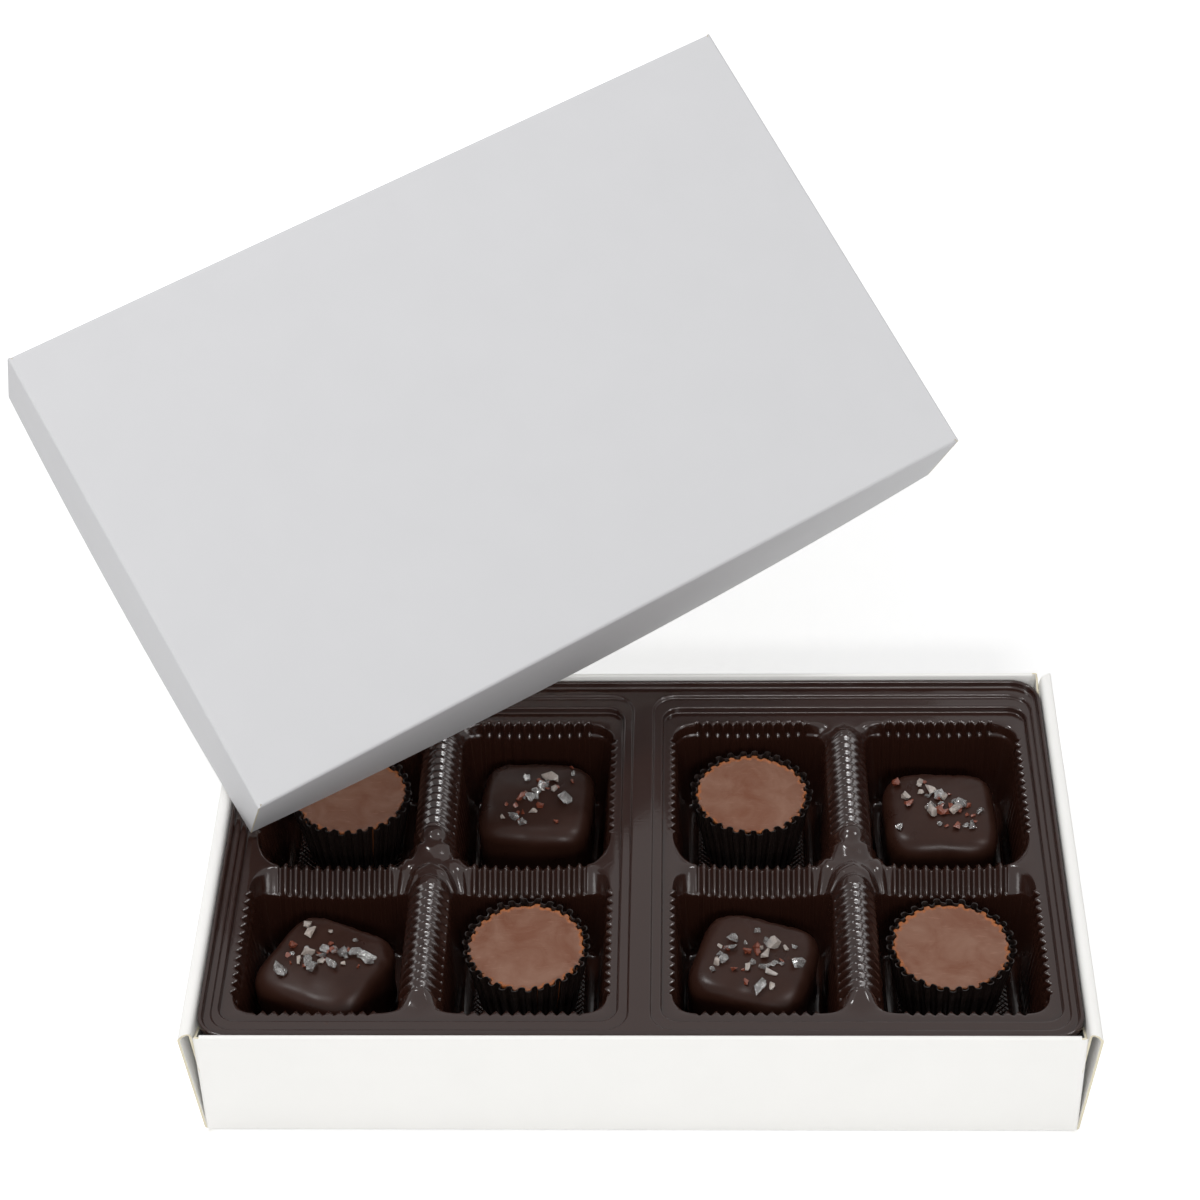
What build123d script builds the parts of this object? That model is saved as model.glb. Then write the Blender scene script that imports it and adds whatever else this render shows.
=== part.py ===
from build123d import *
import math
import os

# Base carton: one folded paperboard blank, standing on z = 0, long side along x
BOX_LENGTH = 181.0
BOX_WIDTH = 112.0
BOX_HEIGHT = 28.6
BOARD = 0.5
END_FLARE = 3.1
ROLL_WIDTH = 2.6
END_INNER_SET = 0.6
END_BEND_HEIGHT = 16.0
HEM_DEPTH = 12.0
HEM_SLANT = 5.0
HEM_END_GAP = 1.0
ROLL_END_GAP = 1.6
TAB_LENGTH = 24.0
TAB_TOP_DROP = 3.4
TAB_TIP_DROP = 11.0

# Candy tray: one thermoformed sheet with two sections of two by two pockets
SHEET = 0.5
TRAY_SIDE_GAP = 0.4
TRAY_END_GAP = 0.1
TRAY_FLOOR_GAP = 0.2
TRAY_CORNER = 6.5
TRAY_TOP_DROP = 1.0
RIM_WIDTH = 0.9
RIM_RISE = 1.6
STEP_ONE = 0.9
STEP_TWO = 1.6
LEDGE_ONE = 2.6
LEDGE_TWO = 3.2
LEDGE_THREE = 2.8
END_LEDGE_ONE = 2.3
END_LEDGE_TWO = 1.3
END_LEDGE_THREE = 1.5
SPINE_HALF = 2.2
SPINE_LEDGE_TWO = 2.3
SPINE_LEDGE_THREE = 1.5
SECTION_CORNER = 5.0
RIDGE_RISE = 2.1
RIDGE_HALF = 4.2
RIDGE_END_ANGLE = 20.0
DIVIDER_HALF = 4.3
DIVIDER_BOW = 1.2
LOW_CREASE_DROP = 8.4
HIGH_CREASE_DROP = 4.3
WALL_DRAFT_ANGLE = 6.2
POCKET_CORNER = 4.0
WELL_FACETS = 3
RIB_DEPTH = 0.9
RIBS_ALONG_X = 11
RIBS_ALONG_Y = 13
FLOOR_RISE = 1.0
FLOOR_MARGIN = 2.4

# Paper cups and their chocolates
CUP_SEAT_GAP = 0.2
CUP_PAPER = 0.3
CUP_CLEARANCE = 3.725
CUP_SPREAD = 3.1
CUP_HEIGHT = 17.8
CUP_FLUTES = 28
FLUTE_DEPTH = 0.9
CUP_FILL_DROP = 0.9
CHOCOLATE_WALL = 2.4
FILLING_SIDES = 10

# Coated caramels and their salt
CARAMEL_CLEARANCE = 5.125
CARAMEL_HEIGHT = 17.2
CARAMEL_CORNER = 7.0
CARAMEL_TOP_ROUND = 4.6
CARAMEL_FOOT_ROUND = 1.2
CORNER_FACETS = 4
TOP_FACETS = 3
COATING = 2.0
CENTRE_CORNER = 4.0
CENTRE_TOP_ROUND = 2.6
CENTRE_FACETS = 2
SALT_SIZE = 2.4
SALT_COUNT = 22
SALT_EDGE = 4.2
SALT_TAPER_ANGLE = 14.0

# Lid carton: face, four splayed walls, taken off and leaning on the tray's rim
LID_FIT = 0.8
LID_DEPTH = 25.4
LID_LONG_BOW = 2.4
LID_END_BOW = 1.0
LID_TURN_X_ANGLE = 33.8
LID_TURN_Y_ANGLE = 12.0
LID_TURN_Z_ANGLE = 30.8
LID_REST_GAP = 0.9
LID_REST_ALONG_SHARE = 0.14

# The pockets that the pieces stand in, by side, column and row, how far off their middles
# the pieces stand, and how they are turned
CUP_PLACES = ((-1, "outer", 1), (-1, "inner", -1), (1, "inner", 1), (1, "outer", -1))
CUP_SHIFTS = ((1.6, 1.0), (-0.3, 2.6), (0.3, 1.0), (-1.6, 2.6))
CARAMEL_PLACES = ((-1, "outer", -1), (-1, "inner", 1), (1, "inner", -1), (1, "outer", 1))
CARAMEL_SHIFTS = ((0.0, -0.5), (0.0, 1.0), (0.0, 0.5), (-0.9, -2.5))
CARAMEL_TURN_ANGLES = (-25.0, -4.0, -17.0, 1.0)

OVERRUN = 5.0
FLATNESS = 0.000001

# Levels of the tray, from its rim down
tray_top = BOX_HEIGHT - TRAY_TOP_DROP
level_one = tray_top - RIM_RISE
level_two = level_one - STEP_ONE
level_three = level_two - STEP_TWO
ridge_top = level_three + RIDGE_RISE
high_crease = ridge_top - HIGH_CREASE_DROP
low_crease = ridge_top - LOW_CREASE_DROP
tray_foot = BOARD + TRAY_FLOOR_GAP
pocket_floor = tray_foot + SHEET
raised_floor = pocket_floor + FLOOR_RISE

# Plan of the tray
tray_half_length = BOX_LENGTH / 2 - TRAY_END_GAP
tray_half_width = BOX_WIDTH / 2 - 2 * BOARD - TRAY_SIDE_GAP
ledge_two_y = tray_half_width - RIM_WIDTH - LEDGE_ONE
ledge_three_y = ledge_two_y - LEDGE_TWO
pocket_edge_y = ledge_three_y - LEDGE_THREE
ledge_two_x = tray_half_length - END_LEDGE_ONE
ledge_three_x = ledge_two_x - END_LEDGE_TWO
pocket_edge_x = ledge_three_x - END_LEDGE_THREE
spine_two_x = SPINE_HALF
spine_three_x = spine_two_x + SPINE_LEDGE_TWO
spine_edge_x = spine_three_x + SPINE_LEDGE_THREE
ridge_x = (pocket_edge_x + spine_edge_x) / 2
pocket_room = min(pocket_edge_x - ridge_x - RIDGE_HALF, pocket_edge_y - DIVIDER_HALF)
cup_top_radius = pocket_room / 2 - CUP_CLEARANCE
cup_base_radius = cup_top_radius - CUP_SPREAD
caramel_side = pocket_room - 2 * CARAMEL_CLEARANCE
draft = math.tan(math.radians(WALL_DRAFT_ANGLE))


def flat_face(points):
    """A flat face inside a closed line through the points."""
    return Face(Wire.make_polygon([Vector(*point) for point in points]))


def skinned(outlines):
    """A solid whose flat facets join outlines of as many points, one above another."""
    faces = [flat_face(outlines[0]), flat_face(outlines[-1])]
    for below, above in zip(outlines, outlines[1:]):
        for step in range(len(below)):
            loop = (below[step - 1], below[step], above[step], above[step - 1])
            start, along, across, up = (Vector(*point) for point in loop)
            rise = (along - start).cross(across - start).dot(up - start)
            if abs(rise) < FLATNESS:
                faces.append(flat_face(loop))
            else:
                faces.append(flat_face(loop[:3]))
                faces.append(flat_face((loop[0], loop[2], loop[3])))
    return Solid(Shell(faces))


def strip_of_board(section_points, y_start, y_end):
    """Board that follows a line drawn in the xz plane and runs along y."""
    section = Plane.XZ * trace(Polyline(*section_points), BOARD)
    return Pos(0, y_end, 0) * extrude(section, y_end - y_start)


def upright_board(outline_points, plane):
    """A flat flap of board, centred on the plane that its outline is drawn in."""
    outline = plane * make_face(Polyline(*outline_points, close=True))
    return extrude(outline, BOARD / 2, both=True)


def base_carton():
    """The blank folded up: floor, hemmed long walls, rolled end walls and their corner tabs."""
    half_length = BOX_LENGTH / 2
    half_width = BOX_WIDTH / 2
    floor = Pos(0, 0, BOARD / 2) * Box(BOX_LENGTH, BOX_WIDTH, BOARD)
    carton = floor

    wall_middle = half_width - BOARD / 2
    hem_middle = wall_middle - BOARD
    hem_end = half_length - HEM_END_GAP
    wall_outline = (
        (-half_length, 0),
        (half_length, 0),
        (half_length, BOX_HEIGHT),
        (-half_length, BOX_HEIGHT),
    )
    hem_outline = (
        (-hem_end, BOX_HEIGHT),
        (hem_end, BOX_HEIGHT),
        (hem_end - HEM_SLANT, BOX_HEIGHT - HEM_DEPTH),
        (-hem_end + HEM_SLANT, BOX_HEIGHT - HEM_DEPTH),
    )
    long_wall = upright_board(wall_outline, Plane.XZ.offset(wall_middle))
    long_wall += upright_board(hem_outline, Plane.XZ.offset(hem_middle))

    tab_top = BOX_HEIGHT - TAB_TOP_DROP
    tab_tip = BOX_HEIGHT - TAB_TIP_DROP
    tab_outline = (
        (-half_width, 0),
        (-half_width, tab_top),
        (-half_width + TAB_LENGTH / 4, tab_top),
        (-half_width + TAB_LENGTH, tab_tip - TAB_TIP_DROP / 2),
        (-half_width + TAB_LENGTH, 0),
    )
    tab = upright_board(tab_outline, Plane.YZ.offset(half_length - BOARD / 2))
    long_wall += tab + mirror(tab, about=Plane.YZ)
    carton += long_wall + mirror(long_wall, about=Plane.XZ)

    roll_out = half_length + END_FLARE - BOARD / 2
    roll_in = roll_out - ROLL_WIDTH + BOARD
    roll_rise = (ROLL_WIDTH - BOARD) / 2
    roll_foot = BOX_HEIGHT - BOARD / 2 - roll_rise
    roll_middle = (roll_out + roll_in) / 2
    inner_x = half_length - BOARD - END_INNER_SET
    roll_corner = roll_rise * (1 - math.cos(math.pi / 4))
    end_section = (
        (half_length - BOARD / 2, 0),
        (roll_out, roll_foot),
        (roll_out - roll_corner, roll_foot + roll_rise - roll_corner),
        (roll_middle, roll_foot + roll_rise),
        (roll_in + roll_corner, roll_foot + roll_rise - roll_corner),
        (roll_in, roll_foot),
        (inner_x, END_BEND_HEIGHT),
        (inner_x, BOARD / 2),
    )
    roll_end = half_width - 2 * BOARD - ROLL_END_GAP
    end_wall = strip_of_board(end_section, -roll_end, roll_end)
    skirt_section = end_section[:2]
    skirt = strip_of_board(skirt_section, -half_width, half_width)
    end_wall += skirt
    carton += end_wall + mirror(end_wall, about=Plane.YZ)
    below = Pos(0, 0, -OVERRUN / 2) * Box(2 * BOX_LENGTH, 2 * BOX_WIDTH, OVERRUN)
    return carton - below


def plate(x_low, x_high, y_half, corner, z_low, z_high):
    """A flat plate with rounded corners, even about y = 0."""
    outline = RectangleRounded(x_high - x_low, 2 * y_half, corner)
    middle = Pos((x_low + x_high) / 2, 0, z_low)
    return middle * extrude(outline, z_high - z_low)


def pocket_sides(column, z, sheet=0):
    """Where a pocket's sides lie at one height, on the side of the sheet that is asked for."""
    fall = (ridge_top - z) * draft - sheet
    if z > high_crease:
        ridge_half = -2 * sheet
        inner_y = -DIVIDER_HALF
    elif z > low_crease:
        ridge_half = RIDGE_HALF - sheet
        inner_y = -RIB_DEPTH - sheet
        if sheet:
            inner_y -= DIVIDER_BOW
    else:
        ridge_half = RIDGE_HALF + (high_crease - z) * draft - sheet
        inner_y = DIVIDER_HALF - sheet
    if column == "outer":
        x_low = ridge_x + ridge_half
        x_high = pocket_edge_x - fall
    else:
        x_low = spine_edge_x + fall
        x_high = ridge_x - ridge_half
    return x_low, x_high, inner_y, pocket_edge_y - fall


def ribbed_outline(sides, low_sides, z, bow):
    """A pocket's outline with one flute per rib, each rib upright over its foot."""
    x_low, x_high, y_low, y_high = sides
    x_start = low_sides[0] + POCKET_CORNER
    x_run = low_sides[1] - low_sides[0] - 2 * POCKET_CORNER
    y_start = low_sides[2] + POCKET_CORNER
    y_run = low_sides[3] - low_sides[2] - 2 * POCKET_CORNER
    corner_in = POCKET_CORNER * (1 - math.cos(math.pi / 4)) + RIB_DEPTH * math.cos(math.pi / 4)
    points = []
    for step in range(2 * RIBS_ALONG_X + 1):
        share = step / (2 * RIBS_ALONG_X)
        inward = RIB_DEPTH * (step % 2) - bow * 4 * share * (1 - share)
        points.append((x_start + x_run * share, y_low + inward, z))
    points.append((x_high - corner_in, y_low + corner_in, z))
    for step in range(2 * RIBS_ALONG_Y + 1):
        share = step / (2 * RIBS_ALONG_Y)
        points.append((x_high - RIB_DEPTH * (step % 2), y_start + y_run * share, z))
    points.append((x_high - corner_in, y_high - corner_in, z))
    for step in range(2 * RIBS_ALONG_X + 1):
        share = 1 - step / (2 * RIBS_ALONG_X)
        points.append((x_start + x_run * share, y_high - RIB_DEPTH * (step % 2), z))
    points.append((x_low + corner_in, y_high - corner_in, z))
    for step in range(2 * RIBS_ALONG_Y + 1):
        share = 1 - step / (2 * RIBS_ALONG_Y)
        points.append((x_low + RIB_DEPTH * (step % 2), y_start + y_run * share, z))
    points.append((x_low + corner_in, y_low + corner_in, z))
    return points


def faceted_outline(half_x, half_y, corner, facets, z):
    """Corner points of a rectangle whose rounded corners are each drawn as a few facets."""
    points = []
    for quarter in range(4):
        middle = (quarter + 1 / 2) * math.pi / 2
        centre_x = math.copysign(half_x - corner, math.cos(middle))
        centre_y = math.copysign(half_y - corner, math.sin(middle))
        for step in range(facets + 1):
            angle = (quarter + step / facets) * math.pi / 2
            points.append((centre_x + corner * math.cos(angle),
                           centre_y + corner * math.sin(angle), z))
    return points


def plain_outline(sides, z, grow, corner, facets=1):
    """A pocket's outline without its flutes, moved outward by grow."""
    x_low, x_high, y_low, y_high = sides
    points = faceted_outline((x_high - x_low) / 2 + grow, (y_high - y_low) / 2 + grow,
                             corner, facets, z)
    return [(x + (x_low + x_high) / 2, y + (y_low + y_high) / 2, z) for x, y, z in points]


def four_quarters(shape):
    """A shape of one quarter of the tray, and its images in the other three."""
    half = [shape, mirror(shape, about=Plane.XZ)]
    return half + [mirror(one, about=Plane.YZ) for one in half]


def candy_tray():
    """Stepped flange, two sections of four pockets, ridges between them and fluted walls."""
    corner_two = SECTION_CORNER
    corner_three = SECTION_CORNER * 4 / 5
    rim = plate(-tray_half_length, tray_half_length, tray_half_width, TRAY_CORNER,
                level_one - SHEET, tray_top)
    rim_in = tray_half_length - RIM_WIDTH
    rim -= plate(-rim_in, rim_in, tray_half_width - RIM_WIDTH, TRAY_CORNER - RIM_WIDTH,
                 level_one, tray_top + OVERRUN)
    flange = rim
    ledges = []
    for side in (1, -1):
        two = sorted((side * spine_two_x, side * ledge_two_x))
        three = sorted((side * spine_three_x, side * ledge_three_x))
        flange -= plate(two[0], two[1], ledge_two_y, corner_two, level_two, level_one + OVERRUN)
        ledges.append(plate(two[0] - SHEET, two[1] + SHEET, ledge_two_y + SHEET,
                            corner_two + SHEET, level_two - SHEET, level_one)
                      - plate(two[0], two[1], ledge_two_y, corner_two,
                              level_two, level_one + OVERRUN))
        ledges.append(plate(three[0] - SHEET, three[1] + SHEET, ledge_three_y + SHEET,
                            corner_three + SHEET, level_three - SHEET, level_two))
    for ledge in ledges:
        flange += ledge
    for side in (1, -1):
        three = sorted((side * spine_three_x, side * ledge_three_x))
        flange -= plate(three[0], three[1], ledge_three_y, corner_three,
                        level_three, level_one + OVERRUN)

    levels = (low_crease, high_crease, ridge_top + RIB_DEPTH)
    shells = []
    cutters = []
    for column in ("inner", "outer"):
        sides = [pocket_sides(column, z) for z in levels]
        bows = (0, DIVIDER_BOW, DIVIDER_BOW)
        shell_corner = POCKET_CORNER + SHEET
        outer = skinned([plain_outline(pocket_sides(column, z, SHEET), z, 0, shell_corner)
                         for z in levels])
        low = sides[0]
        fall = (low_crease - pocket_floor) * draft
        outer += skinned([
            plain_outline(low, tray_foot, SHEET - fall, shell_corner),
            plain_outline(low, low_crease, SHEET, shell_corner),
        ])
        well_corner = POCKET_CORNER - RIB_DEPTH
        well = skinned([
            plain_outline(low, pocket_floor, -fall - RIB_DEPTH, well_corner, WELL_FACETS),
            plain_outline(low, low_crease, -RIB_DEPTH, well_corner, WELL_FACETS),
        ])
        panel_foot = plain_outline(low, tray_foot, SHEET - fall - FLOOR_MARGIN, well_corner)
        well -= extrude(flat_face(panel_foot), FLOOR_RISE + SHEET, dir=(0, 0, 1))
        stand_foot = plain_outline(low, tray_foot - OVERRUN, -fall - FLOOR_MARGIN, well_corner)
        stand = extrude(flat_face(stand_foot), OVERRUN + FLOOR_RISE, dir=(0, 0, 1))
        flutes = skinned([ribbed_outline(side, low, z, bow)
                          for side, z, bow in zip(sides, levels, bows)])
        shells += four_quarters(outer)
        for cutter in (well, flutes, stand):
            cutters += four_quarters(cutter)

    low_slab = Pos(0, 0, (level_three + tray_foot) / 2) * Box(
        2 * BOX_LENGTH, 2 * BOX_WIDTH, level_three - tray_foot)
    room = low_slab
    crossings = []
    ridge_room = 2 * (RIDGE_HALF + RIB_DEPTH)
    for side in (1, -1):
        ridge = Pos(side * ridge_x, 0, level_three) * extrude(
            Rectangle(ridge_room, 2 * (pocket_edge_y - POCKET_CORNER)), RIDGE_RISE,
            taper=RIDGE_END_ANGLE)
        room += ridge
        crossings.append(Pos(side * ridge_x, 0, ridge_top - SHEET / 2)
                         * Box(2 * RIDGE_HALF, 2 * DIVIDER_HALF, SHEET))
    walls = shells[0] + shells[1:]
    return flange + (walls & room) + crossings - cutters


def star_outline(radius, z, count, valley=1):
    """Corner points of a ring, every second one drawn in by the valley's share."""
    points = []
    for step in range(count):
        angle = 2 * math.pi * step / count
        reach = radius * (valley if step % 2 else 1)
        points.append((reach * math.cos(angle), reach * math.sin(angle), z))
    return points


def cup_pieces():
    """A fluted paper cup, its chocolate and the filling sealed inside, standing on z = 0."""
    valley = 1 - FLUTE_DEPTH / cup_top_radius
    creases = 2 * CUP_FLUTES
    outside = skinned([
        star_outline(cup_base_radius, 0, creases, valley),
        star_outline(cup_top_radius, CUP_HEIGHT, creases, valley),
    ])
    inside = skinned([
        star_outline(cup_base_radius - CUP_PAPER, CUP_PAPER, creases, valley),
        star_outline(cup_top_radius - CUP_PAPER, CUP_HEIGHT, creases, valley),
    ])
    fill_top = CUP_HEIGHT - CUP_FILL_DROP
    room = 2 * cup_top_radius
    empty = Pos(0, 0, fill_top + OVERRUN / 2) * Box(room, room, OVERRUN)
    wall = CUP_PAPER + FLUTE_DEPTH + CHOCOLATE_WALL
    filling = skinned([
        star_outline(cup_base_radius - wall, CUP_PAPER + CHOCOLATE_WALL, FILLING_SIDES),
        star_outline(cup_top_radius - wall, fill_top - CHOCOLATE_WALL, FILLING_SIDES),
    ])
    return outside - inside, inside - empty - filling, filling


def caramel_pieces():
    """A coated caramel and the centre sealed inside it, standing on z = 0."""

    def pillow(half, corner, facets, levels):
        return skinned([
            faceted_outline(half - inset, half - inset, corner - inset, facets, z)
            for inset, z in levels
        ])

    shoulder = CARAMEL_HEIGHT - CARAMEL_TOP_ROUND
    levels = [(CARAMEL_FOOT_ROUND, 0), (0, CARAMEL_FOOT_ROUND)]
    for step in range(TOP_FACETS + 1):
        turn = step / TOP_FACETS * math.pi / 2
        levels.append((CARAMEL_TOP_ROUND * (1 - math.cos(turn)),
                       shoulder + CARAMEL_TOP_ROUND * math.sin(turn)))
    block = pillow(caramel_side / 2, CARAMEL_CORNER, CORNER_FACETS, levels)
    centre_top = CARAMEL_HEIGHT - COATING
    levels = ((0, COATING), (0, centre_top - CENTRE_TOP_ROUND), (CENTRE_TOP_ROUND, centre_top))
    centre = pillow(caramel_side / 2 - COATING, CENTRE_CORNER, CENTRE_FACETS, levels)
    return block - centre, centre


def salt_crystals(turn):
    """Coarse crystals lying on the flat of one caramel's top, spread by a steady turn."""
    crystals = []
    steady_turn = math.degrees(math.pi * (3 - math.sqrt(5)))
    for index in range(SALT_COUNT):
        share = (index + 1 / 2) / SALT_COUNT
        reach = (caramel_side / 2 - SALT_EDGE) * math.sqrt(share)
        angle = turn + steady_turn * index
        size = SALT_SIZE * (1 - (index * 7 % 5) / 10)
        corners = 4 + index % 2
        outline = RegularPolygon(size / 2, corners, rotation=angle * 3)
        crystal = extrude(outline, size * 2 / 3, taper=SALT_TAPER_ANGLE)
        place = Pos(reach * math.cos(math.radians(angle)), reach * math.sin(math.radians(angle)),
                    CARAMEL_HEIGHT)
        crystals.append(place * crystal)
    return crystals


def lid_carton():
    """The lid's face and its splayed walls, drawn face up at its own corner, then turned."""
    half_length = BOX_LENGTH / 2 + LID_FIT
    half_width = BOX_WIDTH / 2 + LID_FIT

    def outline(inset, bow_share, z):
        x = half_length - inset
        y = half_width - inset
        long_bow = LID_LONG_BOW * bow_share
        end_bow = LID_END_BOW * bow_share
        if bow_share == 0:
            return Pos(0, 0, z) * Rectangle(2 * x, 2 * y)
        edges = Curve() + [
            ThreePointArc((-x, -y), (0, -y - long_bow), (x, -y)),
            ThreePointArc((x, -y), (x + end_bow, 0), (x, y)),
            ThreePointArc((x, y), (0, y + long_bow), (-x, y)),
            ThreePointArc((-x, y), (-x - end_bow, 0), (-x, -y)),
        ]
        return Pos(0, 0, z) * make_face(edges)

    over_share = (LID_DEPTH + OVERRUN) / LID_DEPTH
    outside = loft([outline(0, 1, -LID_DEPTH), outline(0, 0, 0)], ruled=True)
    inside = loft([outline(BOARD, over_share, -LID_DEPTH - OVERRUN), outline(BOARD, 0, -BOARD)],
                  ruled=True)
    lid = outside - inside
    corner = Vector(-half_length, -half_width, -LID_DEPTH)
    lid = Pos(-corner.X, -corner.Y, -corner.Z) * lid
    lean_x = -(pocket_edge_x + END_LEDGE_THREE / 2)
    lean_y = LID_REST_ALONG_SHARE * tray_half_width
    lean = Pos(lean_x, lean_y, level_three + LID_REST_GAP)
    return lean * Rotation(LID_TURN_X_ANGLE, LID_TURN_Y_ANGLE, LID_TURN_Z_ANGLE) * lid


def stand_in_pocket(pocket, shift):
    """Where a piece stands: off the middle of its pocket's floor by a small shift."""
    side, column, row = pocket
    low = pocket_sides(column, low_crease)
    x = side * (low[0] + low[1]) / 2 + shift[0]
    y = row * (low[2] + low[3]) / 2 + shift[1]
    return Pos(x, y, raised_floor + CUP_SEAT_GAP)


os.makedirs("parts", exist_ok=True)
pieces = {
    "base_carton": base_carton(),
    "candy_tray": candy_tray(),
    "lid_carton": lid_carton(),
}
paper, chocolate, filling = cup_pieces()
for number, (pocket, shift) in enumerate(zip(CUP_PLACES, CUP_SHIFTS), start=1):
    place = stand_in_pocket(pocket, shift)
    pieces[f"cup_{number}_paper"] = place * paper
    pieces[f"cup_{number}_chocolate"] = place * chocolate
    pieces[f"cup_{number}_filling"] = place * filling
coating, centre = caramel_pieces()
for number, (pocket, shift) in enumerate(zip(CARAMEL_PLACES, CARAMEL_SHIFTS), start=1):
    turn = CARAMEL_TURN_ANGLES[number - 1]
    place = stand_in_pocket(pocket, shift) * Rotation(0, 0, turn)
    pieces[f"caramel_{number}_coating"] = place * coating
    pieces[f"caramel_{number}_centre"] = place * centre
    crystals = [place * crystal for crystal in salt_crystals(turn)]
    pieces[f"caramel_{number}_salt"] = crystals[0] + crystals[1:]

for name, piece in pieces.items():
    export_step(piece, f"parts/{name}.step")
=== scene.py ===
import math
import random

import bmesh
import bpy
from mathutils import Matrix, Vector, noise
from mathutils.bvhtree import BVHTree


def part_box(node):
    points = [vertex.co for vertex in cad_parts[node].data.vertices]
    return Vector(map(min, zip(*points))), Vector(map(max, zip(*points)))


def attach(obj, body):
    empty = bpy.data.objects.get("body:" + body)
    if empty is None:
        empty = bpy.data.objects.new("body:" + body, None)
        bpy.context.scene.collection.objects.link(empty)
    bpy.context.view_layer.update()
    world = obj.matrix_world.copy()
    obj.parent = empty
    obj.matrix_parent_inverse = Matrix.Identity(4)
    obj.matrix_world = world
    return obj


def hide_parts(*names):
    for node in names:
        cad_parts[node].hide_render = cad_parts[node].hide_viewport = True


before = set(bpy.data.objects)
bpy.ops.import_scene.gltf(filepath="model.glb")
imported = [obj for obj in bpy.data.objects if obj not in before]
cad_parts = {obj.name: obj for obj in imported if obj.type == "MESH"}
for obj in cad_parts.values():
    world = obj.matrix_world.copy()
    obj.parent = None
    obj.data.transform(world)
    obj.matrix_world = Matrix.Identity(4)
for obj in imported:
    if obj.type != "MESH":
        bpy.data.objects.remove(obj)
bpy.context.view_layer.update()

# Camera. The box was photographed from a seat at the table: two thirds of a metre away,
# looking forty degrees down, on a short telephoto lens held a little off level.
MM = 0.001
eye = Vector((10.99, -460.31, 479.42)) * MM
look_down, look_aside, tilt = 0.6928067, -0.0399028, -0.0289850
ahead = Vector((math.sin(look_aside) * math.cos(look_down),
                math.cos(look_aside) * math.cos(look_down), -math.sin(look_down)))
level_right = Vector((math.cos(look_aside), -math.sin(look_aside), 0))
level_up = level_right.cross(ahead)
right = level_right * math.cos(tilt) + level_up * math.sin(tilt)
up = level_up * math.cos(tilt) - level_right * math.sin(tilt)


def add_object(name, data):
    """Puts a mesh, a lamp or a camera into the scene."""
    made = bpy.data.objects.new(name, data)
    bpy.context.scene.collection.objects.link(made)
    return made


lens = bpy.data.cameras.new("short_telephoto")
lens.lens, lens.sensor_width = 89.18, 36
lens.clip_start, lens.clip_end = 0.02, 50
camera = add_object("camera", lens)
camera.matrix_world = Matrix((right, up, -ahead)).transposed().to_4x4()
camera.location = eye
bpy.context.scene.camera = camera
bpy.context.scene.view_settings.view_transform = "Standard"


# Table and light. A matt white table top in a white studio, with one soft box above and
# behind and one in front. The cards light nothing that is matt: they only put the small
# bright lines on the glossy tray and coats.
def linear(code):
    """An sRGB hex colour as the linear RGBA that a shader socket takes."""
    shares = [int(code[at:at + 2], 16) / 255 for at in (1, 3, 5)]
    return tuple(s / 12.92 if s <= 0.04045 else ((s + 0.055) / 1.055) ** 2.4
                 for s in shares) + (1,)


def add_node(tree, kind, settings=None, sockets=None):
    """Adds a node, sets its properties, and fills or links its input sockets."""
    node = tree.nodes.new(kind)
    for name, value in (settings or {}).items():
        setattr(node, name, value)
    for socket, value in (sockets or {}).items():
        if isinstance(value, bpy.types.NodeSocket):
            tree.links.new(value, node.inputs[socket])
        else:
            node.inputs[socket].default_value = value
    return node


def calculate(tree, operation, *values):
    """The result of a math node."""
    return add_node(tree, "ShaderNodeMath", {"operation": operation},
                    dict(enumerate(values))).outputs[0]


def start_material(name):
    """A new material, with its node tree emptied."""
    material = bpy.data.materials.new(name)
    material.use_nodes = True
    material.node_tree.nodes.clear()
    return material, material.node_tree


def finish_material(tree, sockets):
    """Adds a material's shader, with its sockets filled or linked, and its output."""
    shader = add_node(tree, "ShaderNodeBsdfPrincipled", sockets=sockets)
    add_node(tree, "ShaderNodeOutputMaterial", sockets={"Surface": shader.outputs[0]})


WHITE = (1, 1, 1, 1)
# How far the table is lifted, for the camera only, to the white of the photograph's
# surround, and the studio's strength as a light and as what is seen or mirrored.
TABLE_LIFT, STUDIO_FILL, STUDIO_SEEN = 0.34, 0.64, 1.0

table_material, tree = start_material("matt_white_laminate")
rays = add_node(tree, "ShaderNodeLightPath").outputs
finish_material(tree, {
    "Base Color": linear("#F7F7F7"), "Roughness": 0.9, "Specular IOR Level": 0.1,
    "Emission Color": WHITE,
    "Emission Strength": calculate(tree, "MULTIPLY", rays["Is Camera Ray"], TABLE_LIFT)})
bpy.ops.mesh.primitive_plane_add(size=8, location=(0, 0, -0.0002))
table = bpy.context.object
table.name = "table_top"
table.data.materials.append(table_material)

studio = bpy.data.worlds.new("white_studio")
studio.use_nodes = True
tree = studio.node_tree
tree.nodes.clear()
rays = add_node(tree, "ShaderNodeLightPath").outputs
seen = calculate(tree, "MAXIMUM", rays["Is Camera Ray"], rays["Is Transmission Ray"])
seen = calculate(tree, "MAXIMUM", seen, rays["Is Glossy Ray"])
fill = add_node(tree, "ShaderNodeBackground", sockets={"Color": WHITE, "Strength": STUDIO_FILL})
white = add_node(tree, "ShaderNodeBackground", sockets={"Color": WHITE, "Strength": STUDIO_SEEN})
sky = add_node(tree, "ShaderNodeMixShader",
               sockets={0: seen, 1: fill.outputs[0], 2: white.outputs[0]})
add_node(tree, "ShaderNodeOutputWorld", sockets={"Surface": sky.outputs[0]})
bpy.context.scene.world = studio

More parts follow.
